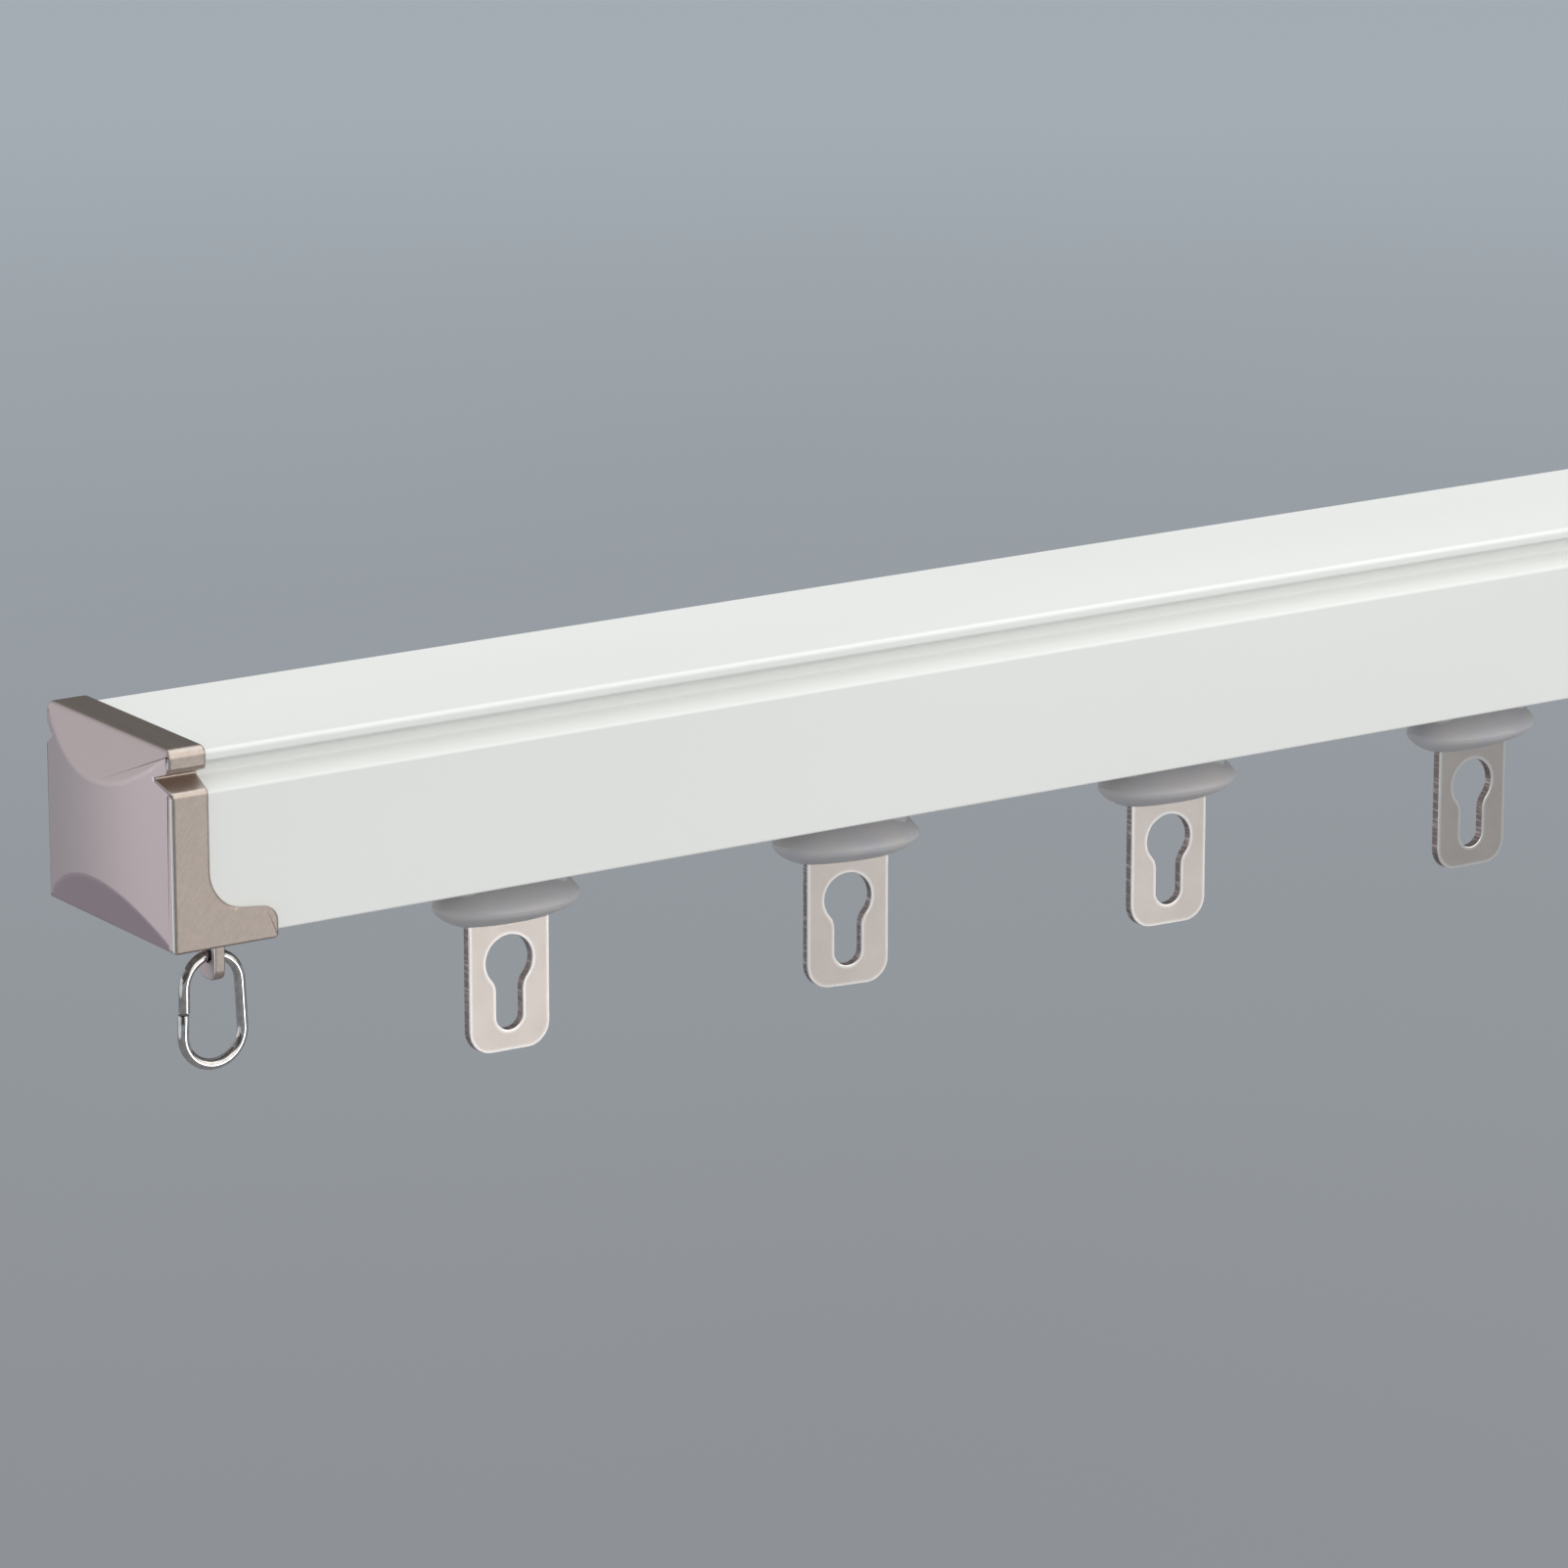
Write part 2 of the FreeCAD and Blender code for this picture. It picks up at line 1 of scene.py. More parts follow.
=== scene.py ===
import bpy
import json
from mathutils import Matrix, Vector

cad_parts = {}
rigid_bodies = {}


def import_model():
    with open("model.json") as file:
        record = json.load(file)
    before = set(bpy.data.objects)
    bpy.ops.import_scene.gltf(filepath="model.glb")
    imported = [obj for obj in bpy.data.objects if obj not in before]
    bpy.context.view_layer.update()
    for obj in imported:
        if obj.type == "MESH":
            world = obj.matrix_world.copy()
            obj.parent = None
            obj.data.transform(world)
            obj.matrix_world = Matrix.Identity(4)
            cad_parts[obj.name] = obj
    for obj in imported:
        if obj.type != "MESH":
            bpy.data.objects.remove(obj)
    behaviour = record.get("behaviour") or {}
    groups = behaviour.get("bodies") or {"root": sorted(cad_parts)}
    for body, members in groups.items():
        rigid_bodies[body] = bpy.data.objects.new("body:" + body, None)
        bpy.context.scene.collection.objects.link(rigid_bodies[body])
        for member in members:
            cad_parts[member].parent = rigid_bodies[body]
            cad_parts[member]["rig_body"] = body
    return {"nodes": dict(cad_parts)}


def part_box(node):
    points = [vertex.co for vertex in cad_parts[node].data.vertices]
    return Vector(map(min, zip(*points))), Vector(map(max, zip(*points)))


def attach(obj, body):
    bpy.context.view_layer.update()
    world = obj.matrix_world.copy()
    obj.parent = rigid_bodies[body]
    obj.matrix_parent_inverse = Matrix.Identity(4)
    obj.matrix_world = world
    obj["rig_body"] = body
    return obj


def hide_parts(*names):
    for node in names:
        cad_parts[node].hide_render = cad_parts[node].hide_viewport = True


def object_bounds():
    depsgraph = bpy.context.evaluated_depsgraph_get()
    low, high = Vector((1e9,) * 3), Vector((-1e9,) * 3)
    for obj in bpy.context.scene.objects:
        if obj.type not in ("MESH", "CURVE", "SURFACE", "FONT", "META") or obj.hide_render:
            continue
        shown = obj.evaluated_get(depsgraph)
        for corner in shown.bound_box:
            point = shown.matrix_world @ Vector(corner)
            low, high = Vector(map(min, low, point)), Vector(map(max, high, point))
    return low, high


for leftover in list(bpy.data.objects):
    bpy.data.objects.remove(leftover)
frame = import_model()
CAD_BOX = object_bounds()

import json
import math

import bmesh
from bpy.props import FloatProperty, FloatVectorProperty, PointerProperty
from bpy.types import Operator, Panel, PropertyGroup
from mathutils import Euler, Vector

bl_info = {
    "name": "Curtain Track",
    "version": (1, 0, 0),
    "blender": (4, 5, 0),
    "location": "3D View > Sidebar > Curtain Track",
    "description": "Finishes the pieces of a curtain track and lights them",
    "category": "Object",
}

# Everything is in metres. The rail's top face is at z = 0. The rail lies along x, with its front towards -y.
ALONG = Vector((1.0, 0.0, 0.0))
SIDES = ("left", "right")
RUNNERS = sorted({int(name.split("_")[1]) for name in frame["nodes"] if name.startswith("runner_")})
MERGE_DISTANCE = 2e-6
CUT_DISTANCE = MERGE_DISTANCE / 10

# Angles between faces: below FLAT_ANGLE they are one face, and above the others they meet in an edge.
FLAT_ANGLE = math.radians(0.4)
SMOOTH_ANGLE = math.radians(32)
PLATE_SMOOTH_ANGLE = math.radians(9.5)
CREASE_ANGLE = math.radians(6)
CUT_END_ANGLE = math.radians(60)

# Shares of a face's unit normal along one direction, by which the faces of a piece are told apart.
EDGE_ON = 0.1
FACE_ON = 0.9
CAP_SIDE_MOST = 0.05
CAP_END_LEAST = 0.3
CAP_OUT_LEAST = 0.5
CAP_RIM_MOST = 0.93
TAB_FLAT_LEAST = 0.99
TAB_SHEARED_MOST = 0.25

# A cap's crease is rounded no nearer to the casting's corners than this many times its edge's radius.
CREASE_STOP = 3

# A wire's cut end is a face with more sides than the faces along the wire have.
WIRE_FACE_SIDES = 8

# The brush marks on the caps' sides lean by this much from the rail's direction.
BRUSH_SLANT = math.radians(52)

# The carriage's flange, ring by ring from the keel up: height above the keel, half length and half width.
HULL_RINGS = (
    (0.0, 0.0058, 0.0017),
    (0.0005, 0.0070, 0.0028),
    (0.0010, 0.0079, 0.0039),
    (0.0015, 0.0085, 0.0047),
    (0.0019, 0.0088, 0.0051),
    (0.00225, 0.0089, 0.0052),
    (0.0027, 0.0088, 0.00505),
    (0.0032, 0.0085, 0.0047),
    (0.0038, 0.00795, 0.0041),
    (0.0045, 0.0072, 0.0033),
    (0.0052, 0.0063, 0.0024),
)
HULL_SIDES = 72

# The solid's plain flange is cut off this far above its rim.
RIM_MARGIN = 0.00015

# The cap screws: sides of the head, segments of its rounding, how much the driver's cross narrows towards its
# tip, and the thread's steps to a turn.
HEAD_SIDES = 64
HEAD_SEGMENTS = 8
RECESS_TAPER = 0.45
THREAD_STEPS = 24

# Shares of the pitch at which the thread's tooth begins and peaks, and the turns of thread below the cut at
# the head, so that the cut meets no edge of the thread.
TOOTH_START = 0.15
TOOTH_PEAK = 0.5
SPARE_TURNS = 1.37

# Each soft lamp's place, width and height, and colour. All of them point at LAMP_AIM.
LAMPS = {
    "key": ((0.55, -1.2, 0.5), (2.0, 1.1), (1.0, 0.98, 0.95)),
    "top": ((0.35, -0.1, 1.05), (1.4, 0.9), (0.95, 0.98, 1.0)),
    "side": ((-1.15, 0.3, -0.1), (1.6, 0.6), (1.0, 0.97, 0.98)),
    "glint": ((0.375, -0.89, -0.33), (0.10, 0.16), (1.0, 0.97, 0.95)),
}
LAMP_AIM = Vector((-0.05, 0.0, -0.015))

# The even light of the world, and the grey room that only shiny surfaces see instead: dark walls, a ceiling
# that sets in between two heights of the view's unit direction, and a lit wall past the track's left end.
EVEN_LIGHT = (0.97, 0.985, 1.0)
DARK_WALL = (0.16, 0.16, 0.165)
CEILING = (0.66, 0.67, 0.68)
CEILING_RISE = (0.35, 0.75)
LIT_WALL = (0.85, 0.86, 0.87)
LIT_WALL_WAY = Vector((-0.58, 0.81, 0.0))
LIT_WALL_RISE = (0.55, 0.9)

# The floor: its side, the distances between which its painted light turns from the dark near colour to the
# lighter far colour, and how large and how strong the unevenness of that turn is.
FLOOR_SIDE = 40.0
FLOOR_TURN = (0.9, 3.6)
FLOOR_CLOUD = 0.6
FLOOR_CLOUD_SHARE = 0.3


class TrackSizes(PropertyGroup):
    """Sizes of the finer forms that the solids leave out."""

    cap_edge: FloatProperty(
        name="Cap edge", description="Rounding of the cap's outer edges",
        default=0.00034, unit="LENGTH", precision=5,
    )
    lug_edge: FloatProperty(
        name="Lug edge", description="Rounding of the ring lug",
        default=0.00016, unit="LENGTH", precision=5,
    )
    tab_edge: FloatProperty(
        name="Tab edge", description="Rolled edge of the stamped hook tabs",
        default=0.0001, unit="LENGTH", precision=5,
    )
    # The width of the inset border that carries the tabs' painted highlight.
    tab_border: FloatProperty(
        name="Tab border", description="Brightened border inside the tab's edges",
        default=0.0004, unit="LENGTH", precision=5,
    )
    ring_edge: FloatProperty(
        name="Ring end edge", description="Rounding of the wire's two cut ends",
        default=0.00012, unit="LENGTH", precision=5,
    )
    keel_edge: FloatProperty(
        name="Keel edge", description="Rounding of the carriage's lowest edge",
        default=0.0002, unit="LENGTH", precision=5,
    )
    tab_clearance: FloatProperty(
        name="Tab clearance", description="Room round the tab in the carriage's socket",
        default=0.00002, unit="LENGTH", precision=6,
    )
    head_height: FloatProperty(
        name="Screw head height", description="Height of the pan head",
        default=0.0017, unit="LENGTH", precision=5,
    )
    head_round: FloatProperty(
        name="Screw head rounding", description="Rounding of the pan head's rim",
        default=0.0009, unit="LENGTH", precision=5,
    )
    shank_radius: FloatProperty(
        name="Screw radius", description="Outer radius of the screw's thread",
        default=0.0015, unit="LENGTH", precision=5,
    )
    thread_pitch: FloatProperty(
        name="Thread pitch", description="Rise of the thread in one turn",
        default=0.0005, unit="LENGTH", precision=5,
    )
    thread_depth: FloatProperty(
        name="Thread depth", description="Depth of the thread's groove",
        default=0.0003, unit="LENGTH", precision=5,
    )
    recess_length: FloatProperty(
        name="Recess length", description="Span of the cross recess",
        default=0.0028, unit="LENGTH", precision=5,
    )
    recess_width: FloatProperty(
        name="Recess width", description="Width of the cross recess's slots",
        default=0.0007, unit="LENGTH", precision=5,
    )
    recess_depth: FloatProperty(
        name="Recess depth", description="Depth of the cross recess",
        default=0.001, unit="LENGTH", precision=5,
    )


def colour_property(name, description, default):
    """A colour that the panel shows."""
    return FloatVectorProperty(
        name=name, description=description, default=default, subtype="COLOR", size=3, min=0.0, max=1.0
    )


class TrackColours(PropertyGroup):
    """Colours of the finishes, as linear values."""

    coat: colour_property("Powder coat", "White coat of the rail", (0.86, 0.865, 0.835))
    nickel: colour_property("Cap nickel", "Brushed plate on the cap's sides", (0.545, 0.465, 0.41))
    end_nickel: colour_property("End nickel", "Blasted plate on the cap's end face", (0.70, 0.60, 0.605))
    # Painted highlight: near white put on the rounded rims of the caps and on the rolled edges and borders of
    # the tabs.
    painted_highlight: colour_property("Rubbed edge", "Plate that handling has brightened", (0.93, 0.90, 0.87))
    tab: colour_property("Tab plate", "Plate on the faces of the hook tabs", (0.67, 0.605, 0.56))
    sheared: colour_property("Sheared edge", "Cut sides of the hook tabs", (0.30, 0.25, 0.245))
    chrome: colour_property("Ring wire", "Bright plate on the ring", (0.60, 0.58, 0.565))
    nylon: colour_property("Nylon", "Natural nylon of the carriages", (0.66, 0.635, 0.625))
    steel: colour_property("Steel", "Screws and axles", (0.60, 0.60, 0.61))
    zinc: colour_property("Zinc", "Nut plates in the channel", (0.55, 0.56, 0.57))
    wheel: colour_property("Wheel", "Moulded wheels", (0.58, 0.59, 0.60))
    # Painted light: the floor is dark near the track and lighter and bluer far off, in place of light falling
    # off across it.
    floor: colour_property("Floor", "Pale floor below the track", (0.30, 0.305, 0.32))
    far_floor_painted_light: colour_property("Far floor", "The same floor further off", (0.60, 0.67, 0.725))


class TrackStage(PropertyGroup):
    """The camera and the light."""

    heading: FloatProperty(
        name="Heading", description="Turn of the view from straight across the rail",
        default=math.radians(33.79), subtype="ANGLE",
    )
    tilt: FloatProperty(
        name="Tilt", description="How far the view looks down",
        default=math.radians(15.05), subtype="ANGLE",
    )
    lens: FloatProperty(
        name="Lens", description="Focal length on a 36 mm sensor", default=171.9, unit="CAMERA"
    )
    camera_place: FloatVectorProperty(
        name="Camera place", description="Where the camera stands",
        default=(-0.50299, -0.67186, 0.19885), subtype="XYZ", unit="LENGTH", size=3,
    )
    floor_drop: FloatProperty(
        name="Floor drop", description="Floor below the lowest point of the track", default=0.5, unit="LENGTH"
    )
    sky: FloatProperty(
        name="Sky", description="Strength of the even light from all round", default=0.62
    )
    key_power: FloatProperty(
        name="Key", description="Power of the front lamp", default=10.3, unit="POWER"
    )
    top_power: FloatProperty(
        name="Top", description="Power of the overhead lamp", default=6.0, unit="POWER"
    )
    side_power: FloatProperty(
        name="Side", description="Power of the lamp at the end", default=1.8, unit="POWER"
    )
    glint_power: FloatProperty(
        name="Glint", description="Power of the small low lamp", default=0.28, unit="POWER"
    )


class Value:
    """A socket that takes part in Python arithmetic, each sign of which adds one Math node."""

    def __init__(self, tree, socket):
        self.tree = tree
        self.socket = socket

    def feed(self, socket):
        self.tree.links.new(self.socket, socket)

    def joined(self, operation, first, second):
        node = self.tree.nodes.new("ShaderNodeMath")
        node.operation = operation
        for given, socket in zip((first, second), node.inputs):
            if isinstance(given, Value):
                given.feed(socket)
            else:
                socket.default_value = given
        return Value(self.tree, node.outputs[0])

    def __add__(self, other):
        return self.joined("ADD", self, other)

    def __radd__(self, other):
        return self.joined("ADD", other, self)

    def __sub__(self, other):
        return self.joined("SUBTRACT", self, other)

    def __rsub__(self, other):
        return self.joined("SUBTRACT", other, self)

    def __mul__(self, other):
        return self.joined("MULTIPLY", self, other)

    def __rmul__(self, other):
        return self.joined("MULTIPLY", other, self)


class Nodes:
    """Adds nodes to one node tree."""

    def __init__(self, tree):
        self.tree = tree

    def add(self, kind, settings=None, inputs=None, output=0):
        """Adds a node, sets its properties first and then its sockets, and returns one of its outputs."""
        node = self.tree.nodes.new(kind)
        for name, setting in (settings or {}).items():
            setattr(node, name, setting)
        for name, given in (inputs or {}).items():
            self.put(node.inputs[name], given)
        return Value(self.tree, node.outputs[output])

    def put(self, socket, given):
        """Fills a socket with a link or with a constant."""
        if isinstance(given, Value):
            given.feed(socket)
        elif socket.type == "RGBA":
            socket.default_value = (*given, 1.0)
        else:
            socket.default_value = given

    def mixed(self, first, second, share):
        """A colour between two colours, on the Mix node's colour sockets."""
        return self.add("ShaderNodeMix", {"data_type": "RGBA"}, {0: share, 6: first, 7: second}, output=2)

    def within(self, value, low, high):
        """The value's range from low to high brought to 0 to 1, and held there."""
        return self.add("ShaderNodeMapRange", {"clamp": True}, {0: value, 1: low, 2: high})


class Finish(Nodes):
    """A material with one main shader and patterns in object space."""

    def __init__(self, name, **constants):
        self.material = bpy.data.materials.new(name)
        self.material.use_nodes = True
        super().__init__(self.material.node_tree)
        self.shader = self.tree.nodes["Principled BSDF"]
        for socket, given in constants.items():
            self.set(socket.replace("_", " ").title().replace("Ior", "IOR"), given)

    def set(self, socket, given):
        self.put(self.shader.inputs[socket], given)

    def place(self, stretch=(1.0, 1.0, 1.0), turn=(0.0, 0.0, 0.0)):
        """Object coordinates, turned and stretched."""
        here = self.add("ShaderNodeTexCoord", output="Object")
        turned = self.add(
            "ShaderNodeMapping", {"vector_type": "POINT"}, {"Vector": here, "Rotation": Euler(turn)}
        )
        return self.add("ShaderNodeVectorMath", {"operation": "MULTIPLY"}, {0: turned, 1: Vector(stretch)})

    def noise(self, where, size, detail=2.0, roughness=0.5):
        """Soft noise whose blotches are about size metres across, between 0 and 1."""
        sockets = {"Vector": where, "Scale": 1 / size, "Detail": detail, "Roughness": roughness}
        return self.add("ShaderNodeTexNoise", inputs=sockets)

    def mottled(self, colour, darkest, pattern, low=0.35, high=0.65):
        """A colour that drops to its darkest share where the pattern is low."""
        return self.mixed(scaled(colour, darkest), colour, self.within(pattern, low, high))

    def mark(self, name):
        """A mask that the modelling painted on the piece's faces."""
        return self.add("ShaderNodeAttribute", {"attribute_name": name}, output="Fac")

    def relief(self, height, depth, strength):
        """Feeds a height to the shader's normal."""
        sockets = {"Strength": strength, "Distance": depth, "Height": height}
        self.set("Normal", self.add("ShaderNodeBump", inputs=sockets))


def tinted(colour, shares):
    """A colour with a share of each of its channels, none of them above white."""
    return tuple(min(channel * share, 1.0) for channel, share in zip(colour, shares))


def scaled(colour, share):
    """A darker or lighter tone of a colour."""
    return tinted(colour, (share, share, share))


def powder_coat(colour):
    """Smooth white powder coat with the faint ripple that such a coat dries to."""
    coat = Finish("rail_powder_coat", ior=1.42)
    ripple = coat.noise(coat.place(), size=0.0011)
    cloud = coat.noise(coat.place(stretch=(0.3, 1.0, 1.0)), size=0.03, detail=1.0)
    coat.set("Base Color", coat.mottled(colour, 0.965, cloud, low=0.3, high=0.7))
    coat.set("Roughness", 0.48 + 0.08 * ripple)
    coat.relief(ripple, depth=0.00002, strength=0.35)
    return coat.material


def cap_nickel(brushed, blasted, painted_highlight):
    """Nickel plate: brushed on a slant on the cap's sides, blasted on its end, with a painted highlight on
    its rims and painted shade on the end's low facet.
    """
    plate = Finish("cap_satin_nickel", metallic=1.0)
    end = plate.mark("end_face")
    low_facet = plate.mark("low_facet")
    rim = plate.mark("rim")
    slant = plate.place(stretch=(0.06, 1.0, 1.0), turn=(0.0, BRUSH_SLANT, 0.0))
    scratch = plate.noise(slant, size=0.00018, detail=3.0, roughness=0.6)
    streak = plate.noise(plate.place(stretch=(1.0, 0.05, 1.0)), size=0.0005)
    grain = plate.noise(plate.place(), size=0.00016)
    side_colour = plate.mottled(brushed, 0.80, scratch * 0.6 + streak * 0.4, low=0.32, high=0.68)
    # Painted shade: the end's downward facet is tinted darker and pinker than the rest of the end.
    end_colour = plate.mixed(blasted, tinted(blasted, (0.92, 0.86, 0.92)), low_facet)
    face_colour = plate.mixed(side_colour, end_colour, end)
    # Painted highlight: the upright rims of the end are coloured near white.
    plate.set("Base Color", plate.mixed(face_colour, painted_highlight, rim))
    side_rough = 0.30 + 0.12 * scratch
    end_rough = 0.40 + 0.08 * grain
    face_rough = side_rough * (1 - end) + end_rough * end
    plate.set("Roughness", face_rough * (1 - 0.4 * rim))
    plate.relief(scratch * (1 - end) + grain * end, depth=0.000012, strength=0.5)
    return plate.material


def tab_plate(face, sheared, painted_highlight):
    """Satin plate on the tab's faces, a painted highlight on the rolled edges and the border inside them, and
    dark, streaked breaks on the punched sides.
    """
    plate = Finish("tab_satin_plate", metallic=1.0)
    side = plate.mark("sheared")
    rim = plate.mark("rim")
    grain = plate.noise(plate.place(), size=0.00022, detail=3.0, roughness=0.6)
    cloud = plate.noise(plate.place(), size=0.004)
    streak = plate.noise(plate.place(stretch=(1.0, 0.08, 1.0)), size=0.00025)
    face_colour = plate.mottled(face, 0.9, cloud * 0.5 + grain * 0.5)
    side_colour = plate.mixed(sheared, scaled(sheared, 2.4), plate.within(streak, 0.5, 0.72))
    # Painted highlight: the rolled edges and the border inside them turn towards near white.
    edge_highlight_colour = plate.mixed(face_colour, painted_highlight, rim)
    plate.set("Base Color", plate.mixed(edge_highlight_colour, side_colour, side))
    face_rough = 0.27 + 0.09 * grain
    side_rough = 0.38 + 0.2 * streak
    plate.set("Roughness", face_rough * (1 - side) + side_rough * side)
    plate.relief(grain * (1 - side) + streak * side, depth=0.00002, strength=0.4)
    return plate.material


def ring_chrome(colour):
    """Bright plated wire with faint drawing marks."""
    wire = Finish("ring_bright_wire", metallic=1.0)
    marks = wire.noise(wire.place(), size=0.0006)
    wire.set("Base Color", wire.mottled(colour, 0.82, marks))
    wire.set("Roughness", 0.06 + 0.08 * marks)
    wire.relief(marks, depth=0.00002, strength=0.3)
    return wire.material


def nylon(colour):
    """Natural nylon, a little clear at its thin edges."""
    plastic = Finish(
        "carriage_nylon", ior=1.53, transmission_weight=0.12,
        subsurface_weight=0.55, subsurface_scale=0.0022, subsurface_radius=(1.0, 0.92, 0.85),
    )
    cloud = plastic.noise(plastic.place(), size=0.003)
    grain = plastic.noise(plastic.place(), size=0.0004)
    cool = tinted(colour, (0.93, 0.96, 1.02))
    plastic.set("Base Color", plastic.mixed(cool, colour, plastic.within(cloud, 0.35, 0.65)))
    plastic.set("Roughness", 0.30 + 0.14 * grain)
    plastic.relief(grain, depth=0.00003, strength=0.3)
    return plastic.material


def turned_metal(name, colour, size, roughness):
    """Plain plated or ground metal with fine uneven marks."""
    metal = Finish(name, metallic=1.0)
    marks = metal.noise(metal.place(), size, detail=3.0)
    metal.set("Base Color", metal.mottled(colour, 0.78, marks))
    metal.set("Roughness", roughness + 0.12 * marks)
    metal.relief(marks, depth=0.00002, strength=0.3)
    return metal.material


def acetal(colour):
    """Grey moulded acetal with a dry, even grain."""
    plastic = Finish("wheel_acetal", ior=1.48)
    grain = plastic.noise(plastic.place(), size=0.0005)
    plastic.set("Base Color", plastic.mottled(colour, 0.93, grain))
    plastic.set("Roughness", 0.36 + 0.12 * grain)
    plastic.relief(grain, depth=0.00003, strength=0.25)
    return plastic.material


def deselect_all():
    """Leaves edit mode and selects nothing."""
    if bpy.context.object and bpy.context.object.mode != "OBJECT":
        bpy.ops.object.mode_set(mode="OBJECT")
    bpy.ops.object.select_all(action="DESELECT")


def make_active(piece):
    """Selects one piece alone."""
    deselect_all()
    bpy.context.view_layer.objects.active = piece
    piece.select_set(True)


def copy_of(node, name):
    """A new piece with the node's form, its triangles merged into whole faces, left open in edit mode."""
    piece = bpy.data.objects.new(name, frame["nodes"][node].data.copy())
    bpy.context.scene.collection.objects.link(piece)
    piece.data.name = name
    piece.data.materials.clear()
    make_active(piece)
    bpy.ops.mesh.customdata_custom_splitnormals_clear()
    bpy.ops.object.mode_set(mode="EDIT")
    bpy.ops.mesh.select_mode(type="EDGE")
    bpy.ops.mesh.select_all(action="SELECT")
    bpy.ops.mesh.remove_doubles(threshold=MERGE_DISTANCE)
    bpy.ops.mesh.dissolve_limited(angle_limit=FLAT_ANGLE)
    return piece


def select_edges(piece, wanted):
    """In edit mode, selects the edges for which wanted(middle, one face, other face) holds."""
    mesh = bmesh.from_edit_mesh(piece.data)
    bpy.ops.mesh.select_all(action="DESELECT")
    for edge in mesh.edges:
        if len(edge.link_faces) == 2:
            middle = (edge.verts[0].co + edge.verts[1].co) / 2
            edge.select_set(bool(wanted(middle, *edge.link_faces)))
    bmesh.update_edit_mesh(piece.data)


def round_edges(piece, wanted, radius, segments):
    """In edit mode, rounds the wanted edges."""
    select_edges(piece, wanted)
    bpy.ops.mesh.bevel(offset=radius, segments=segments, affect="EDGES", clamp_overlap=False)


def is_square_edge(one, other, direction):
    """Whether one of two faces looks along the direction and the other across it."""
    least, most = sorted((abs(one.normal.dot(direction)), abs(other.normal.dot(direction))))
    return least < EDGE_ON and most > FACE_ON


def combine(piece, tool, operation):
    """Joins the tool to the piece or cuts it from the piece, and removes the tool."""
    make_active(piece)
    change = piece.modifiers.new("change", "BOOLEAN")
    change.operation = operation
    change.solver = "EXACT"
    change.object = tool
    bpy.ops.object.modifier_apply(modifier=change.name)
    bpy.data.objects.remove(tool)


def paint_faces(piece, name, wanted):
    """Stores a mask that is 1 on the faces for which wanted(face) holds."""
    if piece.mode == "EDIT":
        bpy.ops.object.mode_set(mode="OBJECT")
    mask = piece.data.attributes.new(name, "FLOAT", "CORNER")
    for face in piece.data.polygons:
        if wanted(face):
            for corner in face.loop_indices:
                mask.data[corner].value = 1.0


def finish_piece(piece, material, node, smooth_angle=SMOOTH_ANGLE):
    """Smooths a finished piece, gives it its material and lets it stand for its node on the node's body."""
    make_active(piece)
    bpy.ops.object.shade_smooth_by_angle(angle=smooth_angle)
    modifier = piece.modifiers.new("face_weighted", "WEIGHTED_NORMAL")
    modifier.keep_sharp = True
    bpy.ops.object.modifier_apply(modifier=modifier.name)
    piece.data.materials.clear()
    piece.data.materials.append(material)
    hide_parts(node)
    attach(piece, frame["nodes"][node]["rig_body"])


def dress(node, material):
    """Gives a node that is kept as it is a new material."""
    for slot in frame["nodes"][node].material_slots:
        slot.material = material


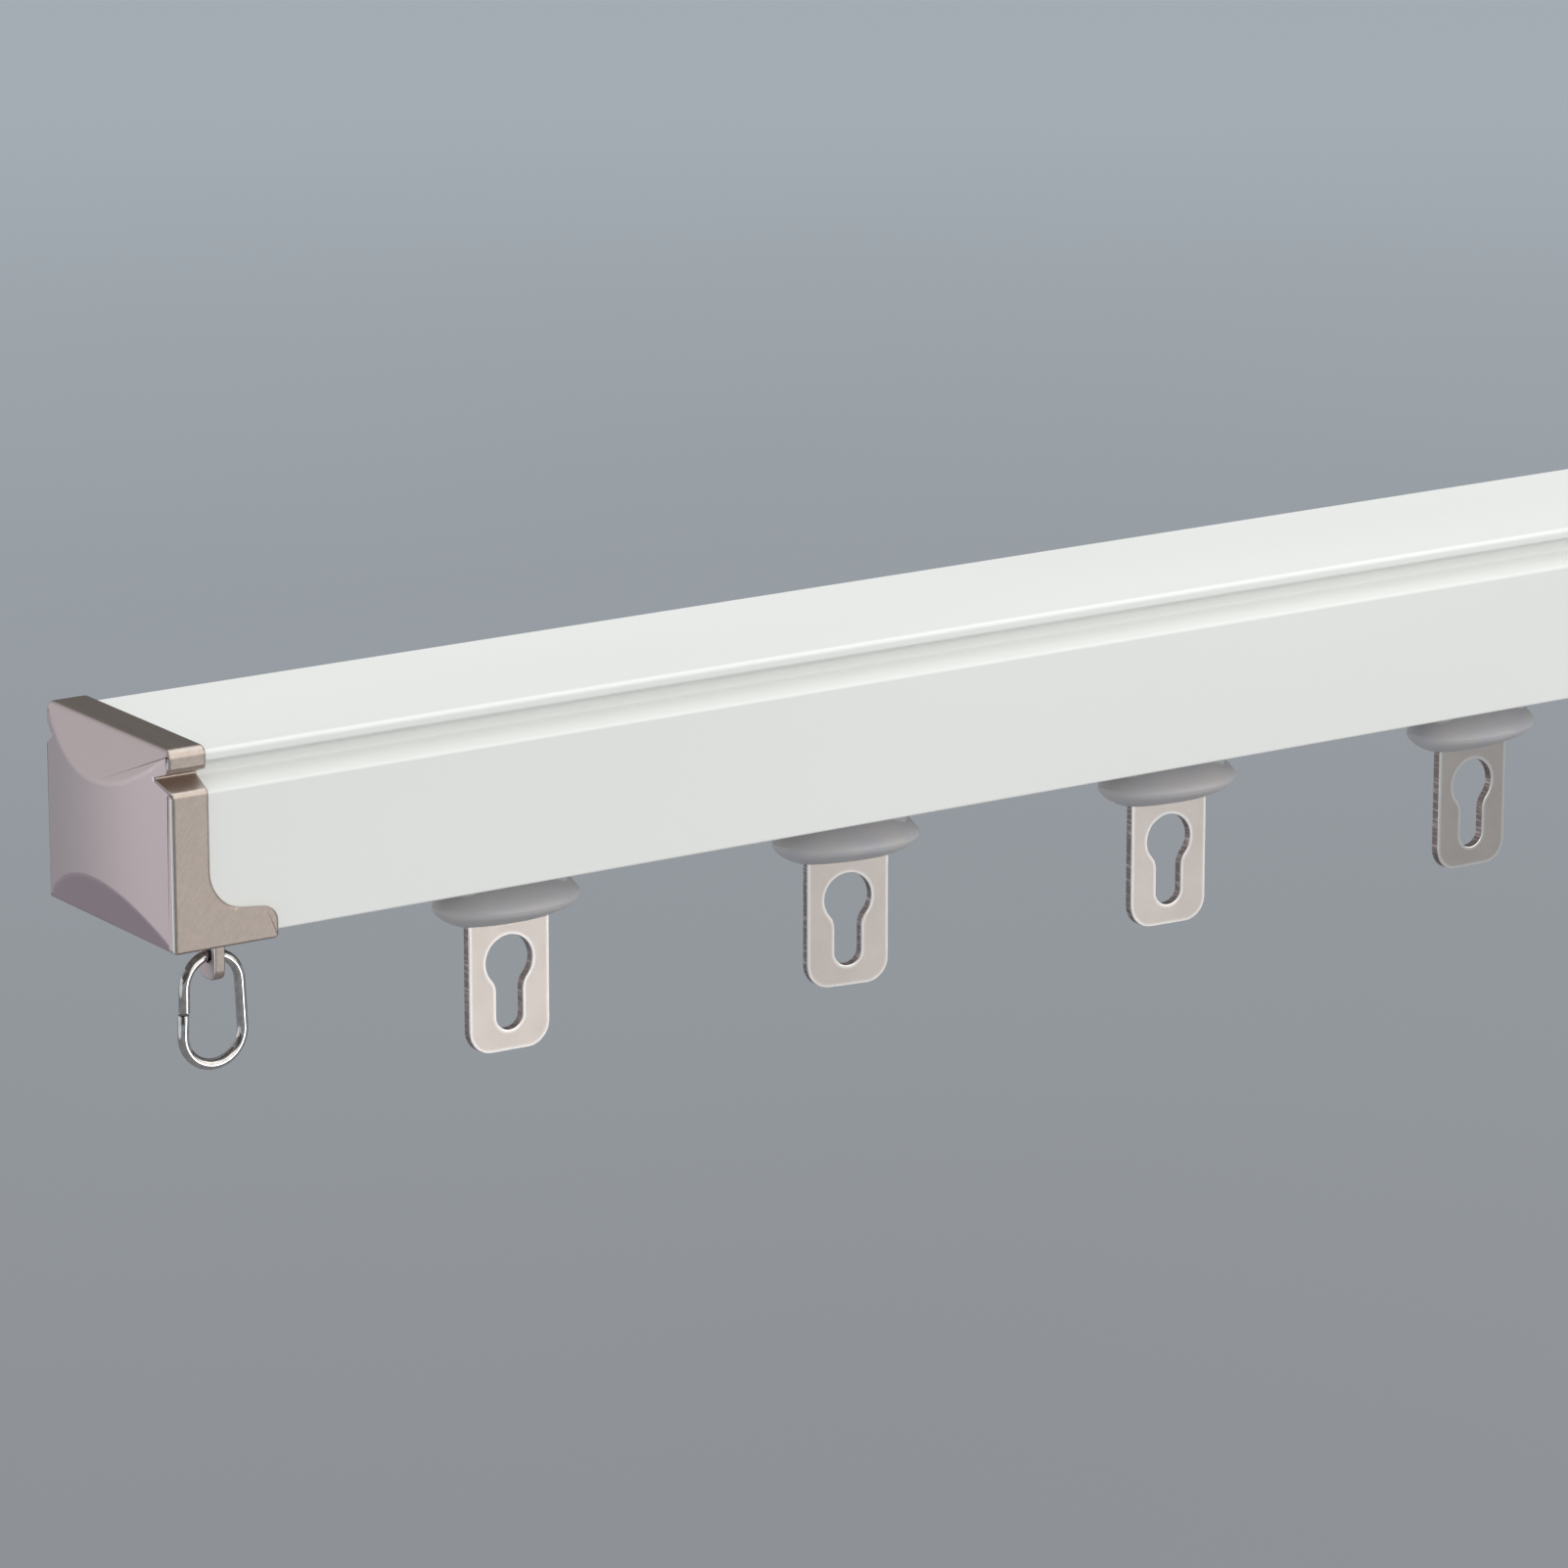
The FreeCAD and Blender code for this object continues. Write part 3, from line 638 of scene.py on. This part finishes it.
class CapForm:
    """Tells the edges and faces of one end cap apart by their places and normals."""

    def __init__(self, side, sizes):
        rail_low, rail_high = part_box("rail")
        self.low, self.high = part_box("end_cap_" + side)
        self.outwards = -1 if side == "left" else 1
        self.middle_z = (rail_low.z + rail_high.z) / 2
        self.casting_low = rail_low.z - (self.high.z - rail_high.z)
        self.lug_top = self.casting_low - sizes.lug_edge
        self.corner = CREASE_STOP * sizes.cap_edge

    def facing_out(self, face):
        """How squarely a face looks out of the track's end."""
        return face.normal.x * self.outwards

    def is_side(self, face, middle):
        """Whether a face is one of the casting's outer sides, top or bottom."""
        from_middle = Vector((0, middle.y, middle.z - self.middle_z))
        return abs(face.normal.x) < CAP_SIDE_MOST and face.normal.dot(from_middle) > 0

    def is_rim(self, middle, one, other):
        """An edge between the casting's outer sides and its end."""
        if middle.z < self.casting_low - MERGE_DISTANCE:
            return False
        one_is_side = self.is_side(one, middle) and abs(other.normal.x) > CAP_END_LEAST
        other_is_side = self.is_side(other, middle) and abs(one.normal.x) > CAP_END_LEAST
        return one_is_side or other_is_side

    def is_crease(self, middle, one, other):
        """An edge between the bulge and a facet of the end, clear of the casting's corners."""
        clear_across = abs(middle.y) < self.high.y - self.corner
        clear_upwards = self.casting_low + self.corner < middle.z < self.high.z - self.corner
        both_out = min(self.facing_out(one), self.facing_out(other)) > CAP_OUT_LEAST
        return clear_across and clear_upwards and both_out and one.normal.angle(other.normal) > CREASE_ANGLE

    def is_outer(self, middle, one, other):
        return self.is_rim(middle, one, other) or self.is_crease(middle, one, other)

    def is_lug(self, middle, one, other):
        """An edge of the ring lug below the casting."""
        return middle.z < self.lug_top and is_square_edge(one, other, ALONG)

    def is_end_face(self, face):
        return self.facing_out(face) > CAP_OUT_LEAST

    # The end's downward facet, which gets painted shade.
    def is_painted_shade_facet(self, face):
        return self.is_end_face(face) and face.normal.z < -EDGE_ON

    def is_painted_highlight(self, face):
        """Whether a face is in the rounding of the end's upright rims, which gets a painted highlight."""
        return CAP_OUT_LEAST < self.facing_out(face) < CAP_RIM_MOST and abs(face.normal.z) < EDGE_ON

    def hold(self, cap):
        """Brings back what the bevels push out of the casting at its sharp corners."""
        for vertex in cap.data.vertices:
            vertex.co.y = min(max(vertex.co.y, self.low.y), self.high.y)
            if abs(vertex.co.y) > self.high.y / 2:
                vertex.co.z = max(vertex.co.z, self.casting_low)


class CURTAINTRACK_OT_rail(Operator):
    """Gives the rail its powder coat"""

    bl_idname = "curtain_track.rail"
    bl_label = "Rail"

    def execute(self, context):
        dress("rail", powder_coat(context.scene.track_colours.coat))
        return {"FINISHED"}


class CURTAINTRACK_OT_end_caps(Operator):
    """Rounds the edges of both end caps and plates them"""

    bl_idname = "curtain_track.end_caps"
    bl_label = "End caps"

    def execute(self, context):
        sizes = context.scene.track_sizes
        colours = context.scene.track_colours
        material = cap_nickel(colours.nickel, colours.end_nickel, colours.painted_highlight)
        for side in SIDES:
            self.finish_cap(side, sizes, material)
        return {"FINISHED"}

    def finish_cap(self, side, sizes, material):
        node = "end_cap_" + side
        form = CapForm(side, sizes)
        cap = copy_of(node, "cap_" + side)
        round_edges(cap, form.is_outer, sizes.cap_edge, segments=4)
        round_edges(cap, form.is_lug, sizes.lug_edge, segments=2)
        # The masks carry the end face's finish, painted shade on the end's low facet and a painted highlight
        # on its upright rims.
        paint_faces(cap, "end_face", form.is_end_face)
        paint_faces(cap, "low_facet", form.is_painted_shade_facet)
        paint_faces(cap, "rim", form.is_painted_highlight)
        form.hold(cap)
        finish_piece(cap, material, node, PLATE_SMOOTH_ANGLE)


class CURTAINTRACK_OT_end_rings(Operator):
    """Rounds the cut ends of both wire rings and plates them"""

    bl_idname = "curtain_track.end_rings"
    bl_label = "End rings"

    def execute(self, context):
        sizes = context.scene.track_sizes
        material = ring_chrome(context.scene.track_colours.chrome)
        for side in SIDES:
            node = "end_ring_" + side
            ring = copy_of(node, "ring_" + side)
            round_edges(ring, self.is_cut_end, sizes.ring_edge, segments=2)
            bpy.ops.object.mode_set(mode="OBJECT")
            finish_piece(ring, material, node)
        return {"FINISHED"}

    def is_cut_end(self, middle, one, other):
        """The rim of the wire's flat ends, whose faces have many sides."""
        many_sided = max(len(one.verts), len(other.verts)) > WIRE_FACE_SIDES
        return many_sided and one.normal.angle(other.normal) > CUT_END_ANGLE


def across_tab(tab):
    """The direction in which a tab's flat faces look."""
    return max(tab.data.polygons, key=lambda face: face.area).normal.copy()


class CURTAINTRACK_OT_hook_tabs(Operator):
    """Rolls the edges of the hook tabs and marks their sheared sides"""

    bl_idname = "curtain_track.hook_tabs"
    bl_label = "Hook tabs"

    def execute(self, context):
        sizes = context.scene.track_sizes
        colours = context.scene.track_colours
        material = tab_plate(colours.tab, colours.sheared, colours.painted_highlight)
        for number in RUNNERS:
            self.finish_tab(number, sizes, material)
        return {"FINISHED"}

    def finish_tab(self, number, sizes, material):
        node = f"runner_{number}_tab"
        hull_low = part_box(f"runner_{number}_carriage")[0].z
        tab = copy_of(node, f"tab_{number}")
        across = across_tab(tab)

        def is_rolled(middle, one, other):
            return middle.z < hull_low and is_square_edge(one, other, across)

        def is_sheared(face):
            return abs(face.normal.dot(across)) < TAB_SHEARED_MOST

        round_edges(tab, is_rolled, sizes.tab_edge, segments=2)
        self.inset_flats(tab, across, sizes.tab_border)
        paint_faces(tab, "sheared", is_sheared)
        self.paint_highlight_border(tab, across)
        finish_piece(tab, material, node, PLATE_SMOOTH_ANGLE)

    def inset_flats(self, tab, across, border):
        """Insets both flat faces by the border and leaves their middles selected."""
        bpy.ops.mesh.select_mode(type="FACE")
        bpy.ops.mesh.select_all(action="DESELECT")
        mesh = bmesh.from_edit_mesh(tab.data)
        for face in mesh.faces:
            face.select_set(abs(face.normal.dot(across)) > TAB_FLAT_LEAST)
        bmesh.update_edit_mesh(tab.data)
        bpy.ops.mesh.inset(thickness=border, depth=0.0)
        bpy.ops.object.mode_set(mode="OBJECT")

    def paint_highlight_border(self, tab, across):
        """Paints a highlight on the rolled edges, and on the border inside them so that it fades towards the
        middle.
        """
        mask = tab.data.attributes.new("rim", "FLOAT", "CORNER")
        flat = [face for face in tab.data.polygons if abs(face.normal.dot(across)) > TAB_FLAT_LEAST]
        inner = {vertex for face in flat if face.select for vertex in face.vertices}
        for face in tab.data.polygons:
            if not face.select and abs(face.normal.dot(across)) >= TAB_SHEARED_MOST:
                for corner in face.loop_indices:
                    if tab.data.loops[corner].vertex_index not in inner:
                        mask.data[corner].value = 1.0


class CURTAINTRACK_OT_carriages(Operator):
    """Gives each moulded carriage its boat shaped flange, smooth from keel to neck"""

    bl_idname = "curtain_track.carriages"
    bl_label = "Carriages"

    def execute(self, context):
        sizes = context.scene.track_sizes
        material = nylon(context.scene.track_colours.nylon)
        hull = self.hull(sizes)
        for number in RUNNERS:
            self.finish_carriage(number, hull, sizes, material)
        bpy.data.objects.remove(hull)
        return {"FINISHED"}

    def hull(self, sizes):
        """The flange about the origin, each ring drawn up from the last."""
        deselect_all()
        bpy.ops.mesh.primitive_circle_add(vertices=HULL_SIDES, radius=1.0, fill_type="NGON")
        hull = bpy.context.object
        bpy.ops.object.mode_set(mode="EDIT")
        bpy.ops.mesh.select_mode(type="FACE")
        bpy.ops.mesh.select_all(action="SELECT")
        last_height, last_length, last_width = (0.0, 1.0, 1.0)
        for height, length, width in HULL_RINGS:
            if height > 0:
                rise = {"value": (0.0, 0.0, height - last_height)}
                bpy.ops.mesh.extrude_region_move(TRANSFORM_OT_translate=rise)
            bpy.ops.transform.resize(
                value=(length / last_length, width / last_width, 1.0), center_override=(0.0, 0.0, height)
            )
            last_height, last_length, last_width = (height, length, width)
        bpy.ops.mesh.select_all(action="SELECT")
        bpy.ops.mesh.normals_make_consistent(inside=False)
        bpy.ops.mesh.select_mode(type="EDGE")
        round_edges(hull, self.is_keel, sizes.keel_edge, segments=2)
        bpy.ops.object.mode_set(mode="OBJECT")
        return hull

    def is_keel(self, middle, one, other):
        """The edge round the hull's lowest face."""
        return middle.z < MERGE_DISTANCE

    def finish_carriage(self, number, hull, sizes, material):
        node = f"runner_{number}_carriage"
        low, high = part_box(node)
        centre = (low + high) / 2
        carriage = copy_of(node, f"carriage_{number}")
        self.cut_at_flange(carriage, centre)
        tab = copy_of(f"runner_{number}_tab", "tab_room")
        bpy.ops.object.mode_set(mode="OBJECT")
        shell = self.placed_hull(hull, (centre.x, centre.y, low.z), across_tab(tab))
        self.swell(tab, sizes.tab_clearance)
        combine(carriage, shell, "UNION")
        combine(carriage, tab, "DIFFERENCE")
        finish_piece(carriage, material, node)

    def cut_at_flange(self, carriage, centre):
        """Takes off all below the plain flange's rim, where the shaped hull takes over."""
        rail_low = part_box("rail")[0].z
        below = [vertex.co for vertex in carriage.data.vertices if vertex.co.z < rail_low]
        reach = max((point.xy - centre.xy).length for point in below)
        rim = [point.z for point in below if (point.xy - centre.xy).length > reach - MERGE_DISTANCE]
        bpy.ops.mesh.select_all(action="SELECT")
        bpy.ops.mesh.bisect(
            plane_co=(centre.x, centre.y, max(rim) + RIM_MARGIN), plane_no=(0.0, 0.0, 1.0), use_fill=True,
            clear_inner=True, threshold=CUT_DISTANCE,
        )
        bpy.ops.object.mode_set(mode="OBJECT")

    def placed_hull(self, hull, place, across):
        """A copy of the hull at its place, turned to run along the tab."""
        shell = hull.copy()
        shell.data = hull.data.copy()
        bpy.context.scene.collection.objects.link(shell)
        shell.location = place
        shell.rotation_euler = (0.0, 0.0, math.atan(-across.x / across.y))
        make_active(shell)
        bpy.ops.object.transform_apply(location=True, rotation=True, scale=True)
        return shell

    def swell(self, tab, clearance):
        """Makes the tab's copy larger by the clearance all round."""
        make_active(tab)
        room = tab.modifiers.new("room", "DISPLACE")
        room.mid_level = 0.0
        room.strength = clearance
        bpy.ops.object.modifier_apply(modifier=room.name)


class CURTAINTRACK_OT_cap_screws(Operator):
    """Models a pan head screw with a cross recess and a real thread for each cap"""

    bl_idname = "curtain_track.cap_screws"
    bl_label = "Cap screws"

    def execute(self, context):
        sizes = context.scene.track_sizes
        steel = context.scene.track_colours.steel
        material = turned_metal("screw_plated_steel", steel, size=0.0004, roughness=0.24)
        left_low, left_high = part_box("cap_screw_left")
        head_radius = (left_high.x - left_low.x) / 2
        for side in SIDES:
            node = "cap_screw_" + side
            low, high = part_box(node)
            centre = (low + high) / 2
            head = self.pan_head(centre, low.z, head_radius, sizes)
            shank = self.threaded_shank(centre, low.z + sizes.head_height, high.z, sizes)
            deselect_all()
            shank.select_set(True)
            head.select_set(True)
            bpy.context.view_layer.objects.active = head
            bpy.ops.object.join()
            head.name = head.data.name = "screw_" + side
            finish_piece(head, material, node)
        return {"FINISHED"}

    def pan_head(self, centre, low_z, radius, sizes):
        """A short cylinder with a rounded lower rim and a tapered cross cut into it."""
        deselect_all()
        bpy.ops.mesh.primitive_cylinder_add(
            vertices=HEAD_SIDES, radius=radius, depth=sizes.head_height,
            location=(centre.x, centre.y, low_z + sizes.head_height / 2),
        )
        head = bpy.context.object
        bpy.ops.object.transform_apply(location=True, rotation=True, scale=True)

        def is_lower_rim(middle, one, other):
            return middle.z < low_z + MERGE_DISTANCE and abs(one.normal.z - other.normal.z) > FACE_ON

        bpy.ops.object.mode_set(mode="EDIT")
        bpy.ops.mesh.select_mode(type="EDGE")
        round_edges(head, is_lower_rim, sizes.head_round, segments=HEAD_SEGMENTS)
        bpy.ops.object.mode_set(mode="OBJECT")
        for turn in (0.0, math.pi / 2):
            combine(head, self.recess_blade(centre, low_z, turn, sizes), "DIFFERENCE")
        return head

    def recess_blade(self, centre, low_z, turn, sizes):
        """One blade of the driver's cross, narrower towards its tip."""
        deselect_all()
        bpy.ops.mesh.primitive_cube_add(size=1.0, location=(centre.x, centre.y, low_z))
        blade = bpy.context.object
        blade.scale = (sizes.recess_length, sizes.recess_width, 2 * sizes.recess_depth)
        blade.rotation_euler = (0.0, 0.0, turn)
        bpy.ops.object.transform_apply(location=True, rotation=True, scale=True)
        bpy.ops.object.mode_set(mode="EDIT")
        bpy.ops.mesh.select_mode(type="VERT")
        bpy.ops.mesh.select_all(action="DESELECT")
        mesh = bmesh.from_edit_mesh(blade.data)
        for vertex in mesh.verts:
            vertex.select_set(vertex.co.z > low_z)
        bmesh.update_edit_mesh(blade.data)
        bpy.ops.transform.resize(
            value=(RECESS_TAPER, RECESS_TAPER, 1.0), center_override=(centre.x, centre.y, low_z)
        )
        bpy.ops.object.mode_set(mode="OBJECT")
        return blade

    def threaded_shank(self, centre, low_z, high_z, sizes):
        """One tooth's outline screwed round the axis, then cut level and closed at both ends."""
        pitch = sizes.thread_pitch
        shank = self.tooth_outline(sizes)
        screw = shank.modifiers.new("thread", "SCREW")
        screw.axis = "Z"
        screw.angle = math.tau
        screw.screw_offset = pitch
        screw.iterations = math.ceil((high_z - low_z) / pitch) + math.ceil(SPARE_TURNS)
        screw.steps = screw.render_steps = THREAD_STEPS
        bpy.ops.object.modifier_apply(modifier=screw.name)
        shank.location = (centre.x, centre.y, low_z - SPARE_TURNS * pitch)
        bpy.ops.object.transform_apply(location=True, rotation=True, scale=True)
        bpy.ops.object.mode_set(mode="EDIT")
        for level, clear_above in ((low_z, False), (high_z, True)):
            bpy.ops.mesh.select_all(action="SELECT")
            bpy.ops.mesh.remove_doubles(threshold=MERGE_DISTANCE)
            bpy.ops.mesh.bisect(
                plane_co=(centre.x, centre.y, level), plane_no=(0.0, 0.0, 1.0), use_fill=True,
                clear_outer=clear_above, clear_inner=not clear_above, threshold=CUT_DISTANCE,
            )
        bpy.ops.mesh.select_all(action="SELECT")
        bpy.ops.mesh.normals_make_consistent(inside=False)
        bpy.ops.object.mode_set(mode="OBJECT")
        return shank

    def tooth_outline(self, sizes):
        """The thread's open outline over one pitch, in the plane of x and z."""
        pitch = sizes.thread_pitch
        core = sizes.shank_radius - sizes.thread_depth
        deselect_all()
        bpy.ops.mesh.primitive_circle_add(vertices=4, radius=pitch / 2, fill_type="NOTHING")
        outline = bpy.context.object
        bpy.ops.object.mode_set(mode="EDIT")
        bpy.ops.mesh.select_mode(type="VERT")
        mesh = bmesh.from_edit_mesh(outline.data)
        mesh.verts.ensure_lookup_table()
        tooth = (
            (core, 0.0), (core, TOOTH_START), (sizes.shank_radius, TOOTH_PEAK), (core, 1 - TOOTH_START)
        )
        for vertex, (radius, share) in zip(mesh.verts, tooth):
            vertex.co = (radius, 0.0, share * pitch)
        last = mesh.verts[3]
        closing = [edge for edge in last.link_edges if mesh.verts[0] in edge.verts]
        bmesh.ops.delete(mesh, geom=closing, context="EDGES_FACES")
        mesh.edges.new((last, mesh.verts.new((core, 0.0, pitch))))
        bmesh.update_edit_mesh(outline.data)
        bpy.ops.object.mode_set(mode="OBJECT")
        return outline


class CURTAINTRACK_OT_inner_parts(Operator):
    """Gives the wheels, axles and nut plates their finishes"""

    bl_idname = "curtain_track.inner_parts"
    bl_label = "Wheels, axles and nut plates"

    def execute(self, context):
        colours = context.scene.track_colours
        wheel = acetal(colours.wheel)
        axle = turned_metal("axle_ground_steel", colours.steel, size=0.0003, roughness=0.18)
        nut = turned_metal("nut_zinc_plate", colours.zinc, size=0.0007, roughness=0.34)
        for name in frame["nodes"]:
            if "_wheel_" in name:
                dress(name, wheel)
            elif "_axle_" in name:
                dress(name, axle)
            elif name.startswith("clamp_nut"):
                dress(name, nut)
        return {"FINISHED"}


class CURTAINTRACK_OT_stage(Operator):
    """Adds the camera, the soft lamps, the even sky and the pale floor"""

    bl_idname = "curtain_track.stage"
    bl_label = "Stage"

    def execute(self, context):
        stage = context.scene.track_stage
        floor_z = CAD_BOX[0].z - stage.floor_drop
        self.camera(context, stage)
        self.floor(floor_z, context.scene.track_colours)
        self.sky(context, stage)
        for name, (place, size, colour) in LAMPS.items():
            self.lamp(name, place, size, getattr(stage, name + "_power"), colour)
        context.scene.view_settings.view_transform = "Standard"
        return {"FINISHED"}

    def camera(self, context, stage):
        data = bpy.data.cameras.new("camera")
        data.lens = stage.lens
        camera = bpy.data.objects.new("camera", data)
        camera.location = stage.camera_place
        camera.rotation_euler = (math.pi / 2 - stage.tilt, 0.0, -stage.heading)
        context.scene.collection.objects.link(camera)
        context.scene.camera = camera

    def floor(self, floor_z, colours):
        """One wide plane whose colour turns slowly from painted shade near the track to painted light far
        from it.
        """
        deselect_all()
        bpy.ops.mesh.primitive_plane_add(size=FLOOR_SIDE, location=(0.0, 0.0, floor_z))
        floor = bpy.context.object
        floor.name = "floor"
        paint = Finish("floor_paint", roughness=0.9)
        distance = paint.add(
            "ShaderNodeVectorMath", {"operation": "LENGTH"}, {0: paint.place()}, output="Value"
        )
        cloud = paint.noise(paint.place(), FLOOR_CLOUD)
        far = paint.within(distance + FLOOR_CLOUD_SHARE * cloud, *FLOOR_TURN)
        paint.set("Base Color", paint.mixed(colours.floor, colours.far_floor_painted_light, far))
        floor.data.materials.append(paint.material)

    def sky(self, context, stage):
        """Even light for the scene, and the grey room for what shines."""
        world = bpy.data.worlds.new("sky")
        world.use_nodes = True
        nodes = Nodes(world.node_tree)
        background = world.node_tree.nodes["Background"]
        shines = nodes.add("ShaderNodeLightPath", output="Is Glossy Ray")
        direction = nodes.add("ShaderNodeTexCoord", output="Generated")
        height = nodes.add("ShaderNodeSeparateXYZ", inputs={0: direction}, output="Z")
        past_end = nodes.add(
            "ShaderNodeVectorMath", {"operation": "DOT_PRODUCT"},
            {0: direction, 1: LIT_WALL_WAY}, output="Value",
        )
        room = nodes.mixed(DARK_WALL, CEILING, nodes.within(height, *CEILING_RISE))
        room = nodes.mixed(room, LIT_WALL, nodes.within(past_end, *LIT_WALL_RISE))
        nodes.put(background.inputs["Color"], nodes.mixed(EVEN_LIGHT, room, shines))
        background.inputs["Strength"].default_value = stage.sky
        context.scene.world = world

    def lamp(self, name, place, size, power, colour):
        data = bpy.data.lights.new(name, "AREA")
        data.shape = "RECTANGLE"
        data.size, data.size_y = size
        data.energy = power
        data.color = colour
        lamp = bpy.data.objects.new(name, data)
        lamp.location = place
        lamp.rotation_euler = (LAMP_AIM - Vector(place)).to_track_quat("-Z", "Y").to_euler()
        bpy.context.scene.collection.objects.link(lamp)


class CURTAINTRACK_PT_panel(Panel):
    """Lists the steps that finish the track"""

    bl_idname = "CURTAINTRACK_PT_panel"
    bl_label = "Curtain Track"
    bl_space_type = "VIEW_3D"
    bl_region_type = "UI"
    bl_category = "Curtain Track"

    def draw(self, context):
        scene = context.scene
        for step in STEPS:
            self.layout.operator(step.bl_idname)
        for group in (scene.track_sizes, scene.track_colours, scene.track_stage):
            box = self.layout.box()
            for name in group.__annotations__:
                box.prop(group, name)


STEPS = (
    CURTAINTRACK_OT_rail,
    CURTAINTRACK_OT_end_caps,
    CURTAINTRACK_OT_end_rings,
    CURTAINTRACK_OT_hook_tabs,
    CURTAINTRACK_OT_carriages,
    CURTAINTRACK_OT_cap_screws,
    CURTAINTRACK_OT_inner_parts,
    CURTAINTRACK_OT_stage,
)
GROUPS = {"track_sizes": TrackSizes, "track_colours": TrackColours, "track_stage": TrackStage}


def register():
    for group in GROUPS.values():
        bpy.utils.register_class(group)
    for name, group in GROUPS.items():
        setattr(bpy.types.Scene, name, PointerProperty(type=group))
    for step in STEPS:
        bpy.utils.register_class(step)
    bpy.utils.register_class(CURTAINTRACK_PT_panel)


def unregister():
    bpy.utils.unregister_class(CURTAINTRACK_PT_panel)
    for step in reversed(STEPS):
        bpy.utils.unregister_class(step)
    for name in GROUPS:
        delattr(bpy.types.Scene, name)
    for group in GROUPS.values():
        bpy.utils.unregister_class(group)


def main():
    register()
    bpy.ops.curtain_track.rail()
    bpy.ops.curtain_track.end_caps()
    bpy.ops.curtain_track.end_rings()
    bpy.ops.curtain_track.hook_tabs()
    bpy.ops.curtain_track.carriages()
    bpy.ops.curtain_track.cap_screws()
    bpy.ops.curtain_track.inner_parts()
    bpy.ops.curtain_track.stage()


if __name__ == "__main__":
    main()
